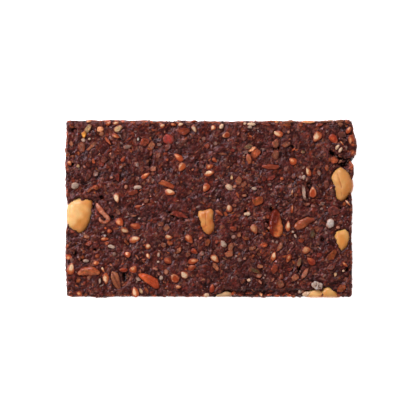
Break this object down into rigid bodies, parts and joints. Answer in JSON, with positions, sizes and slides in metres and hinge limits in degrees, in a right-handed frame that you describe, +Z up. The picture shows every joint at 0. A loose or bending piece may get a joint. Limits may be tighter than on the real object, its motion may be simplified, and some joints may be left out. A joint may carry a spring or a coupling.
{
  "type": "granola bar",
  "caption": "Flat rectangular bar of pressed seeds and chopped nuts in a dark sticky paste, with whole peanuts set in its top and edges.",
  "frame": {"origin": "middle of the flat underside", "axes": "+X along the bar's length, +Y across it, +Z up from the underside to the seeded top"},
  "size_m": [0.0817, 0.0502, 0.0106],
  "materials": {
    "paste": "dark brown sticky paste full of glossy brown seed chips and pale nut crumbs",
    "seeds": "toasted sesame seeds, tan with cream rims",
    "chips": "sticky translucent brown seed chips",
    "pale_crumbs": "pale grey nut and grain crumbs",
    "peanut": "smooth roasted peanut, cream to golden tan",
    "almond": "sticky brown almond slivers",
    "kernel": "dark red-brown sunflower kernels"
  },
  "bodies": {
    "root": {"bar": "paste", "peanut_left": "peanut", "peanut_middle": "peanut", "peanut_right": "peanut", "peanut_low_right": "peanut", "peanut_front_corner": "peanut", "peanut_front": "peanut", "peanut_front_middle": "peanut", "almond_sliver": "almond", "almond_leaf": "almond", "kernel_dark": "kernel", "kernel_covered": "kernel", "kernel_upper_left": "almond"}
  },
  "joints": []
}
